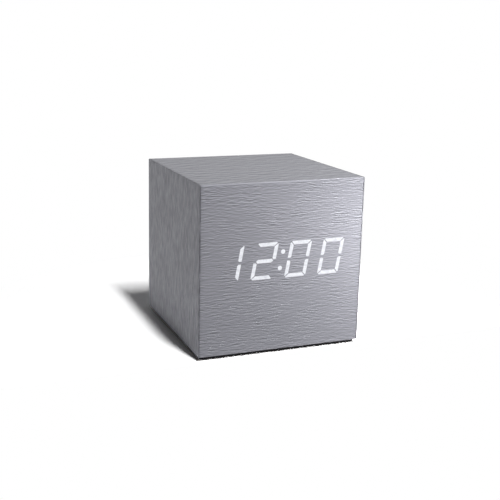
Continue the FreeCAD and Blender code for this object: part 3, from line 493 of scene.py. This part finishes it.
def dress():
    """Gives each CAD node its material, and returns those of the marks on keys and lid."""
    black = moulded("black_plastic", (0.006, 0.006, 0.0065), 0.66, 0.5, 0.03, specular=0.08)
    mark = moulded("mark_black", (0.220, 0.220, 0.225), 0.34, 0.3, 0.006)
    groups = (
        (fibreboard("fibreboard"), "front_board", "top_board", "left_board", "right_board"),
        (fibreboard("fibreboard_sealed", sealed=True), "rear_board"),
        (pine(), "corner_blocks"),
        (silver_film("silver_film", "X", 0.10, 1.75), "wrap_film"),
        (silver_film("silver_film_left", "Z", 1.15, 1.15), "left_film"),
        (silver_film("silver_film_right", "Z", 0.40, 0.40), "right_film"),
        (black, "base_plate", "battery_lid", "button_bezel"),
        (moulded("button_black", (0.035, 0.035, 0.038), 0.42, 0.4, 0.015),
         "set_button", "up_button", "down_button"),
        (moulded("plunger_black", (0.030, 0.030, 0.030), 0.30, 0.6, 0.004),
         "set_plunger", "up_plunger", "down_plunger"),
        (moulded("gloss_black", (0.018, 0.018, 0.020), 0.24, 0.8, 0.004),
         "buzzer", "tact_switches", "power_socket"),
        (moulded("foot_rubber", (0.020, 0.020, 0.020), 0.86, 0.3, 0.03),
         "rubber_feet", "microphone_boot"),
        (moulded("nylon", (0.80, 0.79, 0.74), 0.42, 0.6, 0.006, spread=0.05),
         "display_spacers", "control_spacers", "display_connector", "control_connector"),
        (moulded("chip_black", (0.040, 0.040, 0.045), 0.62, 0.25, 0.02),
         "display_driver", "clock_chip", "display_resistors", "control_resistors"),
        (moulded("black_lead", (0.020, 0.020, 0.021), 0.40, 0.5, 0.005),
         "lead_black", "socket_leads"),
        (moulded("red_lead", (0.50, 0.020, 0.020), 0.40, 0.5, 0.005), "lead_red"),
        (moulded("display_black", (0.028, 0.028, 0.030), 0.70, 0.3, 0.02), "display_housing"),
        (moulded("segment_dark", (0.50, 0.50, 0.50), 0.34, 0.5, 0.004, spread=0.08),
         "unlit_segments"),
        (moulded("led_yellow", (0.82, 0.72, 0.28), 0.28, 0.3, 0.004), "led_chips"),
        (moulded("can_sleeve", (0.045, 0.045, 0.090), 0.32, 0.6, 0.004), "capacitors"),
        (moulded("thermistor_resin", (0.030, 0.060, 0.040), 0.25, 0.4, 0.004), "thermistor"),
        (turned_metal("plated_steel", (0.62, 0.62, 0.61), 0.30),
         "base_screws", "display_screws", "control_screws", "socket_nut"),
        (turned_metal("spring_steel", (0.66, 0.66, 0.66), 0.24, (400, 2500, 2500)),
         "contact_springs"),
        (turned_metal("nickel", (0.70, 0.69, 0.66), 0.22, (2500, 300, 2500)),
         "contact_plates", "socket_contacts"),
        (turned_metal("can_metal", (0.70, 0.70, 0.70), 0.26), "crystal", "microphone"),
        (circuit_board(), "display_board", "control_board"),
        (ribbon_grey(), "ribbon_cable"),
        (lit_segment(), "digit_1_lights", "digit_2_lights", "digit_3_lights", "digit_4_lights",
         "colon_lights"),
    )
    kinds = {name: material for material, *names in groups for name in names}
    for number, way in ((1, 1), (2, -1), (3, 1)):
        name = f"battery_cell_{number}"
        low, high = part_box(name)
        middle = (low[0] + high[0]) / 2 - way * CELL_TIP / 2
        kinds[name] = cell_sleeve(f"cell_wrap_{number}", way, middle)
    for name, item in nodes.items():
        for slot in item.material_slots:
            slot.material = kinds[name]
    return mark, black


# Raised marks on the keys and the lid

def raised_mark(name, outline, rise, place_matrix, body, material, hole=None):
    """Low solid with sloped sides: an outline, with an inner outline when it is a ring."""
    mesh = bmesh.new()
    inset = SIDE_SLOPE * rise
    rings = []
    for loop, way in ((outline, -1), (hole, 1)):
        if loop is None:
            continue
        low = [mesh.verts.new((u, v, 0)) for u, v in loop]
        high = [mesh.verts.new((*p, rise)) for p in offset(loop, way * inset)]
        rings.append((low, high))
        for i, first in enumerate(low):
            j = (i + 1) % len(low)
            mesh.faces.new((first, low[j], high[j], high[i]))
    for level in (0, 1):
        outer = rings[0][level]
        if hole is None:
            mesh.faces.new(outer)
            continue
        inner = rings[1][level]
        for i, first in enumerate(outer):
            j = (i + 1) % len(outer)
            mesh.faces.new((first, outer[j], inner[j], inner[i]))
    bmesh.ops.recalc_face_normals(mesh, faces=mesh.faces)
    mesh.transform(place_matrix)
    data = bpy.data.meshes.new(name)
    mesh.to_mesh(data)
    mesh.free()
    piece = bpy.data.objects.new(name, data)
    bpy.context.collection.objects.link(piece)
    data.materials.append(material)
    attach(piece, body)


def offset(loop, distance):
    """Closed outline moved outwards by a distance, or inwards when it is negative."""
    moved = []
    count = len(loop)
    for i, point in enumerate(loop):
        here = Vector(point)
        before, after = Vector(loop[i - 1]), Vector(loop[(i + 1) % count])
        first = (here - before).normalized()
        second = (after - here).normalized()
        outward = Vector((first.y, -first.x)) + Vector((second.y, -second.x))
        moved.append(tuple(here + outward * (distance / (1 + first.dot(second)))))
    return moved


def rounded(corners, radius, steps=5):
    """Outline with its corners rounded."""
    points = []
    count = len(corners)
    for i, point in enumerate(corners):
        here = Vector(point)
        before, after = Vector(corners[i - 1]), Vector(corners[(i + 1) % count])
        back = (before - here).normalized()
        ahead = (after - here).normalized()
        opening = back.angle(ahead)
        centre = here + (back + ahead).normalized() * (radius / math.sin(opening / 2))
        start = here + back * (radius / math.tan(opening / 2)) - centre
        sweep = math.pi - opening
        for step in range(steps + 1):
            turn = sweep * step / steps
            spoke = Vector((start.x * math.cos(turn) - start.y * math.sin(turn),
                            start.x * math.sin(turn) + start.y * math.cos(turn)))
            points.append(tuple(centre + spoke))
    return points


def circle(radius, count=40):
    angles = [2 * math.pi * i / count for i in range(count)]
    return [(radius * math.cos(angle), radius * math.sin(angle)) for angle in angles]


def triangle(half_width, height, way):
    """Rounded triangle about its middle that points up (1) or down (-1)."""
    corners = [(-half_width, -height / 2), (half_width, -height / 2), (0, height / 2)]
    if way < 0:
        corners = [(-u, -v) for u, v in corners]
    return rounded(corners, MARK_CORNER)


def add_marks(key_material, lid_material):
    """A ring on the set key, arrowheads on the up and down keys, and an arrow on the lid."""
    shapes = {
        "set": (circle(1.05 * MM), circle(0.62 * MM)),
        "up": (triangle(1.15 * MM, 1.75 * MM, 1), None),
        "down": (triangle(1.15 * MM, 1.75 * MM, -1), None),
    }
    facing_rear = Matrix(((-1, 0, 0), (0, 0, 1), (0, 1, 0))).to_4x4()
    for key, (outline, hole) in shapes.items():
        low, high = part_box(f"{key}_button")
        spot = Matrix.Translation(((low[0] + high[0]) / 2, high[1], (low[2] + high[2]) / 2))
        raised_mark(f"{key}_mark", outline, KEY_MARK_RISE, spot @ facing_rear, f"{key}_key",
                    key_material, hole)
    facing_down = Matrix(((1, 0, 0), (0, -1, 0), (0, 0, -1))).to_4x4()
    low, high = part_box("battery_lid")
    spot = Matrix.Translation((0, high[1] - LID_ARROW_INSET, low[2]))
    raised_mark("lid_arrow", triangle(2.6 * MM, 3.4 * MM, -1), LID_MARK_RISE, spot @ facing_down,
                "lid", lid_material)


# Floor, light and background

def seen_directly(tree):
    """1 for what the camera, a reflection or a clear material shows, 0 for light on surfaces."""
    path = tree.nodes.new("ShaderNodeLightPath")
    seen = math_node(tree, "MAXIMUM", path.outputs["Is Camera Ray"], path.outputs["Is Glossy Ray"])
    seen = math_node(tree, "MAXIMUM", seen, path.outputs["Is Transmission Ray"])
    straight = math_node(tree, "LESS_THAN", path.outputs["Diffuse Depth"], 0.5)
    return math_node(tree, "MULTIPLY", seen, straight)


def add_floor():
    """Pale floor that shows the clock's shadow and is white in front and further away."""
    bpy.ops.mesh.primitive_plane_add(size=FLOOR_SIZE)
    floor = bpy.context.object
    floor.name = "floor"
    material = bpy.data.materials.new("pale_floor")
    material.use_nodes = True
    tree = material.node_tree
    tree.nodes.clear()
    out = tree.nodes.new("ShaderNodeOutputMaterial")
    diffuse = tree.nodes.new("ShaderNodeBsdfDiffuse")
    white = tree.nodes.new("ShaderNodeEmission")
    white.inputs["Strength"].default_value = 1.0
    seen = seen_directly(tree)
    tree.links.new(mix(tree, seen, FLOOR_LIT, FLOOR_SEEN), diffuse.inputs["Color"])
    spread = tree.nodes.new("ShaderNodeVectorMath")
    spread.operation = "LENGTH"
    tree.links.new(place(tree), spread.inputs[0])
    around = remap(tree, spread.outputs["Value"], *WHITE_AROUND, smooth=True)
    before = remap(tree, axis(tree, "Y"), *WHITE_BEFORE)
    plain = math_node(tree, "MAXIMUM", around, before)
    blend = tree.nodes.new("ShaderNodeMixShader")
    tree.links.new(math_node(tree, "MULTIPLY", plain, seen), blend.inputs["Fac"])
    tree.links.new(diffuse.outputs["BSDF"], blend.inputs[1])
    tree.links.new(white.outputs["Emission"], blend.inputs[2])
    tree.links.new(blend.outputs["Shader"], out.inputs["Surface"])
    floor.data.materials.append(material)


def add_light(name, at, target, size, power):
    """Soft box that faces its target."""
    data = bpy.data.lights.new(name, "AREA")
    data.shape = "RECTANGLE"
    data.size, data.size_y = size
    data.energy = power
    lamp = bpy.data.objects.new(name, data)
    lamp.location = at
    lamp.rotation_euler = (Vector(target) - Vector(at)).to_track_quat("-Z", "Y").to_euler()
    bpy.context.collection.objects.link(lamp)


def add_world():
    """Dim soft light from all around, with a white background for the eye."""
    world = bpy.data.worlds.new("studio")
    bpy.context.scene.world = world
    world.use_nodes = True
    tree = world.node_tree
    tree.nodes.clear()
    out = tree.nodes.new("ShaderNodeOutputWorld")
    soft = tree.nodes.new("ShaderNodeBackground")
    soft.inputs["Color"].default_value = (0.98, 0.99, 1.0, 1)
    soft.inputs["Strength"].default_value = WORLD_LEVEL
    white = tree.nodes.new("ShaderNodeBackground")
    white.inputs["Color"].default_value = (1, 1, 1, 1)
    white.inputs["Strength"].default_value = 1.0
    blend = tree.nodes.new("ShaderNodeMixShader")
    tree.links.new(seen_directly(tree), blend.inputs["Fac"])
    tree.links.new(soft.outputs["Background"], blend.inputs[1])
    tree.links.new(white.outputs["Background"], blend.inputs[2])
    tree.links.new(blend.outputs["Shader"], out.inputs["Surface"])


add_camera()
add_marks(*dress())
add_floor()
add_world()
for lamp in LIGHTS:
    add_light(*lamp)
bpy.context.scene.view_settings.view_transform = "Standard"
